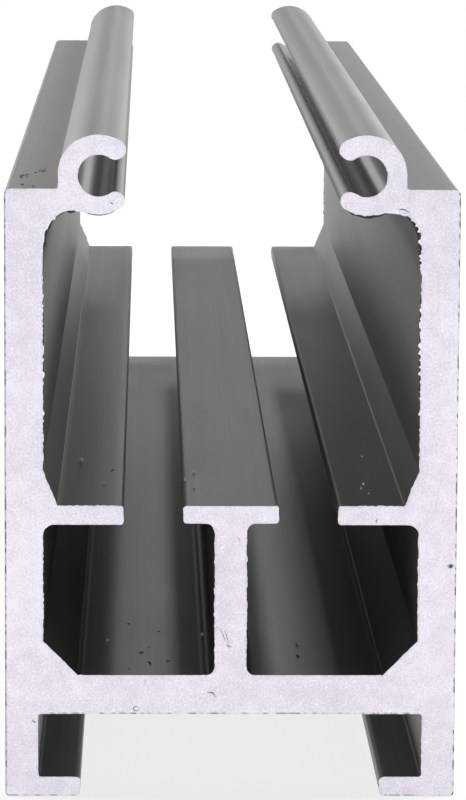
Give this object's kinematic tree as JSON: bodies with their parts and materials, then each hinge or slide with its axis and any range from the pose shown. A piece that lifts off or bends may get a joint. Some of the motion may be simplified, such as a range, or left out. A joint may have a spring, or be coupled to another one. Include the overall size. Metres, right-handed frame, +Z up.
{
  "type": "aluminium extrusion profile",
  "caption": "Sawn length of aluminium rail extrusion: deep channel with claws on its shoulders, ledges and a T-shaped post over floor chambers, and inturned feet.",
  "frame": {"origin": "middle of the rail's length and width, on the plane that its feet rest on", "axes": "+Y along the length, away from the end that the picture shows; +Z up from the feet to the claws; +X to the right seen from that end"},
  "size_m": [0.05, 0.26, 0.0739],
  "materials": {
    "mill_aluminium": "mill finish as pressed, matt grey along the length, pale and finely grained on the sawn ends"
  },
  "bodies": {
    "root": {"extrusion_profile": "mill_aluminium"}
  },
  "joints": []
}
